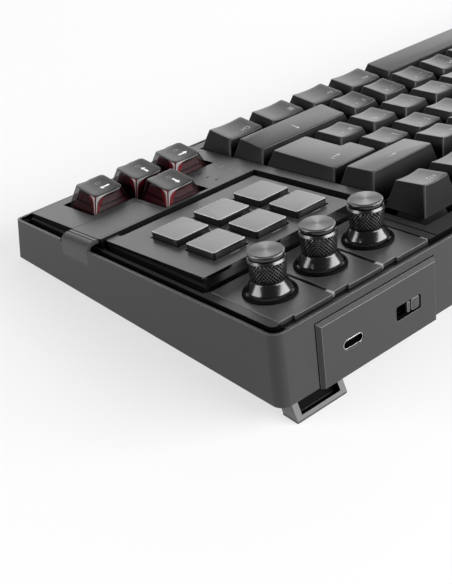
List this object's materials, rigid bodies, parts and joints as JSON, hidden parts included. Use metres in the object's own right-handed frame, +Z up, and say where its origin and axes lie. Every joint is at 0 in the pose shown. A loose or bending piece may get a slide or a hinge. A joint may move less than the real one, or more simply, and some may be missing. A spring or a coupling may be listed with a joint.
{
  "type": "gaming keyboard",
  "caption": "Wedge shaped gaming keyboard with sculpted keys, clear arrow keys, a module of display macro keys, knurled control knobs, a rear port and flip feet.",
  "frame": {"origin": "middle of the bounding box in x and y, on the desk plane under the opened feet and front pads", "axes": "+X to the typist's right along the key rows, +Y away from the typist towards the rear panel, +Z up"},
  "size_m": [0.3784, 0.1464, 0.0439],
  "materials": {
    "case_plastic": "satin charcoal moulding with a fine texture",
    "module_gloss": "polished black moulding",
    "keycap_plastic": "satin black double shot keycap",
    "clear_red_cap": "smoky clear cap over a red base",
    "clear_display_cap": "clear cap over a grey display cell",
    "display_panel": "dark display glass",
    "knob_metal": "black anodised, knurled grip and spun top",
    "steel": "plain sheet and turned steel",
    "board": "green circuit board",
    "switch_plastic": "moulded switch housings and guides",
    "rubber": "matt black rubber",
    "light_diffuser": "milky light strip"
  },
  "bodies": {
    "housing": {"bottom_case": "case_plastic", "top_case": "case_plastic", "badge_plate": "case_plastic", "light_diffusers": "light_diffuser", "switch_plate": "steel", "main_board": "board", "switch_housings": "switch_plastic", "stabilizers": "switch_plastic", "plate_screws": "steel", "module_body": "module_gloss", "macro_deck": "case_plastic", "display_panel": "display_panel", "knob_tiles": "case_plastic", "indicator_windows": "light_diffuser", "knob_collars": "module_gloss", "rotary_encoders": "steel", "rear_panel": "case_plastic", "io_board": "board", "usb_c_shell": "steel", "usb_c_tongue": "switch_plastic", "mode_switch_body": "switch_plastic", "rubber_pads": "rubber"},
    "shaft_1": {"encoder_shaft_1": "steel"},
    "knob_1": {"knob_1": "knob_metal"},
    "shaft_2": {"encoder_shaft_2": "steel"},
    "knob_2": {"knob_2": "knob_metal"},
    "shaft_3": {"encoder_shaft_3": "steel"},
    "knob_3": {"knob_3": "knob_metal"},
    "mode_slider": {"mode_switch_slider": "module_gloss"},
    "flip_foot_right": {"flip_foot_right": "case_plastic", "foot_tip_right": "rubber"},
    "flip_foot_left": {"flip_foot_left": "case_plastic", "foot_tip_left": "rubber"},
    "macro_key_1": {"macro_key_1": "clear_display_cap"},
    "macro_key_2": {"macro_key_2": "clear_display_cap"},
    "macro_key_3": {"macro_key_3": "clear_display_cap"},
    "macro_key_4": {"macro_key_4": "clear_display_cap"},
    "macro_key_5": {"macro_key_5": "clear_display_cap"},
    "macro_key_6": {"macro_key_6": "clear_display_cap"},
    "arrow_up": {"arrow_up_key": "clear_red_cap"},
    "arrow_left": {"arrow_left_key": "clear_red_cap"},
    "arrow_down": {"arrow_down_key": "clear_red_cap"},
    "arrow_right": {"arrow_right_key": "clear_red_cap"},
    "enter": {"enter_key": "keycap_plastic"},
    "backspace": {"backspace_key": "keycap_plastic"},
    "right_shift": {"right_shift_key": "keycap_plastic"},
    "space": {"space_bar": "keycap_plastic"},
    "f12": {"f12_key": "keycap_plastic"},
    "right_ctrl": {"right_ctrl_key": "keycap_plastic"},
    "left_shift": {"left_shift_key": "keycap_plastic"},
    "tab": {"tab_key": "keycap_plastic"},
    "caps_lock": {"caps_lock_key": "keycap_plastic"},
    "escape": {"escape_key": "keycap_plastic"},
    "number_row": {"number_keys": "keycap_plastic"},
    "function_row": {"function_keys": "keycap_plastic"},
    "upper_letters": {"upper_letter_keys": "keycap_plastic"},
    "home_letters": {"home_letter_keys": "keycap_plastic"},
    "lower_letters": {"lower_letter_keys": "keycap_plastic"},
    "front_row": {"front_row_keys": "keycap_plastic"}
  },
  "joints": [
    {"name": "knob_press_1", "type": "slide", "parent": "housing", "child": "shaft_1", "axis": [0, 0.1027, -0.9947], "range_m": [0, 0.0005], "stiffness_N_per_m": 4000, "springref_m": -0.0005},
    {"name": "knob_turn_1", "type": "hinge", "parent": "shaft_1", "child": "knob_1", "pos_m": [0.12395, 0.04548, 0.03504], "axis": [0, -0.1027, 0.9947], "continuous": true},
    {"name": "knob_press_2", "type": "slide", "parent": "housing", "child": "shaft_2", "axis": [0, 0.1027, -0.9947], "range_m": [0, 0.0005], "stiffness_N_per_m": 4000, "springref_m": -0.0005},
    {"name": "knob_turn_2", "type": "hinge", "parent": "shaft_2", "child": "knob_2", "pos_m": [0.14645, 0.04548, 0.03504], "axis": [0, -0.1027, 0.9947], "continuous": true},
    {"name": "knob_press_3", "type": "slide", "parent": "housing", "child": "shaft_3", "axis": [0, 0.1027, -0.9947], "range_m": [0, 0.0005], "stiffness_N_per_m": 4000, "springref_m": -0.0005},
    {"name": "knob_turn_3", "type": "hinge", "parent": "shaft_3", "child": "knob_3", "pos_m": [0.16895, 0.04548, 0.03504], "axis": [0, -0.1027, 0.9947], "continuous": true},
    {"name": "mode_switch_slide", "type": "slide", "parent": "housing", "child": "mode_slider", "axis": [1, 0, 0], "range_m": [0, 0.0046]},
    {"name": "flip_foot_right_fold", "type": "hinge", "parent": "housing", "child": "flip_foot_right", "pos_m": [0.1734, 0.06592, 0.0087], "axis": [1, 0, 0], "range_deg": [-114, 0]},
    {"name": "flip_foot_left_fold", "type": "hinge", "parent": "housing", "child": "flip_foot_left", "pos_m": [-0.1734, 0.06592, 0.0087], "axis": [1, 0, 0], "range_deg": [-114, 0]},
    {"name": "macro_key_1_press", "type": "slide", "parent": "housing", "child": "macro_key_1", "axis": [0, 0.1408, -0.99], "range_m": [0, 0.0012], "stiffness_N_per_m": 250, "springref_m": -0.0015},
    {"name": "macro_key_2_press", "type": "slide", "parent": "housing", "child": "macro_key_2", "axis": [0, 0.1408, -0.99], "range_m": [0, 0.0012], "stiffness_N_per_m": 250, "springref_m": -0.0015},
    {"name": "macro_key_3_press", "type": "slide", "parent": "housing", "child": "macro_key_3", "axis": [0, 0.1408, -0.99], "range_m": [0, 0.0012], "stiffness_N_per_m": 250, "springref_m": -0.0015},
    {"name": "macro_key_4_press", "type": "slide", "parent": "housing", "child": "macro_key_4", "axis": [0, 0.1408, -0.99], "range_m": [0, 0.0012], "stiffness_N_per_m": 250, "springref_m": -0.0015},
    {"name": "macro_key_5_press", "type": "slide", "parent": "housing", "child": "macro_key_5", "axis": [0, 0.1408, -0.99], "range_m": [0, 0.0012], "stiffness_N_per_m": 250, "springref_m": -0.0015},
    {"name": "macro_key_6_press", "type": "slide", "parent": "housing", "child": "macro_key_6", "axis": [0, 0.1408, -0.99], "range_m": [0, 0.0012], "stiffness_N_per_m": 250, "springref_m": -0.0015},
    {"name": "arrow_up_press", "type": "slide", "parent": "housing", "child": "arrow_up", "axis": [0, 0.1027, -0.9947], "range_m": [0, 0.004], "stiffness_N_per_m": 60, "springref_m": -0.006},
    {"name": "arrow_left_press", "type": "slide", "parent": "housing", "child": "arrow_left", "axis": [0, 0.1027, -0.9947], "range_m": [0, 0.004], "stiffness_N_per_m": 60, "springref_m": -0.006},
    {"name": "arrow_down_press", "type": "slide", "parent": "housing", "child": "arrow_down", "axis": [0, 0.1027, -0.9947], "range_m": [0, 0.004], "stiffness_N_per_m": 60, "springref_m": -0.006},
    {"name": "arrow_right_press", "type": "slide", "parent": "housing", "child": "arrow_right", "axis": [0, 0.1027, -0.9947], "range_m": [0, 0.004], "stiffness_N_per_m": 60, "springref_m": -0.006},
    {"name": "enter_press", "type": "slide", "parent": "housing", "child": "enter", "axis": [0, 0.1027, -0.9947], "range_m": [0, 0.004], "stiffness_N_per_m": 60, "springref_m": -0.006},
    {"name": "backspace_press", "type": "slide", "parent": "housing", "child": "backspace", "axis": [0, 0.1027, -0.9947], "range_m": [0, 0.004], "stiffness_N_per_m": 60, "springref_m": -0.006},
    {"name": "right_shift_press", "type": "slide", "parent": "housing", "child": "right_shift", "axis": [0, 0.1027, -0.9947], "range_m": [0, 0.004], "stiffness_N_per_m": 60, "springref_m": -0.006},
    {"name": "space_press", "type": "slide", "parent": "housing", "child": "space", "axis": [0, 0.1027, -0.9947], "range_m": [0, 0.004], "stiffness_N_per_m": 60, "springref_m": -0.006},
    {"name": "f12_press", "type": "slide", "parent": "housing", "child": "f12", "axis": [0, 0.1027, -0.9947], "range_m": [0, 0.004], "stiffness_N_per_m": 60, "springref_m": -0.006},
    {"name": "right_ctrl_press", "type": "slide", "parent": "housing", "child": "right_ctrl", "axis": [0, 0.1027, -0.9947], "range_m": [0, 0.004], "stiffness_N_per_m": 60, "springref_m": -0.006},
    {"name": "left_shift_press", "type": "slide", "parent": "housing", "child": "left_shift", "axis": [0, 0.1027, -0.9947], "range_m": [0, 0.004], "stiffness_N_per_m": 60, "springref_m": -0.006},
    {"name": "tab_press", "type": "slide", "parent": "housing", "child": "tab", "axis": [0, 0.1027, -0.9947], "range_m": [0, 0.004], "stiffness_N_per_m": 60, "springref_m": -0.006},
    {"name": "caps_lock_press", "type": "slide", "parent": "housing", "child": "caps_lock", "axis": [0, 0.1027, -0.9947], "range_m": [0, 0.004], "stiffness_N_per_m": 60, "springref_m": -0.006},
    {"name": "escape_press", "type": "slide", "parent": "housing", "child": "escape", "axis": [0, 0.1027, -0.9947], "range_m": [0, 0.004], "stiffness_N_per_m": 60, "springref_m": -0.006},
    {"name": "number_row_press", "type": "slide", "parent": "housing", "child": "number_row", "axis": [0, 0.1027, -0.9947], "range_m": [0, 0.004], "stiffness_N_per_m": 780, "springref_m": -0.006},
    {"name": "function_row_press", "type": "slide", "parent": "housing", "child": "function_row", "axis": [0, 0.1027, -0.9947], "range_m": [0, 0.004], "stiffness_N_per_m": 660, "springref_m": -0.006},
    {"name": "upper_letters_press", "type": "slide", "parent": "housing", "child": "upper_letters", "axis": [0, 0.1027, -0.9947], "range_m": [0, 0.004], "stiffness_N_per_m": 720, "springref_m": -0.006},
    {"name": "home_letters_press", "type": "slide", "parent": "housing", "child": "home_letters", "axis": [0, 0.1027, -0.9947], "range_m": [0, 0.004], "stiffness_N_per_m": 720, "springref_m": -0.006},
    {"name": "lower_letters_press", "type": "slide", "parent": "housing", "child": "lower_letters", "axis": [0, 0.1027, -0.9947], "range_m": [0, 0.004], "stiffness_N_per_m": 660, "springref_m": -0.006},
    {"name": "front_row_press", "type": "slide", "parent": "housing", "child": "front_row", "axis": [0, 0.1027, -0.9947], "range_m": [0, 0.004], "stiffness_N_per_m": 360, "springref_m": -0.006}
  ]
}
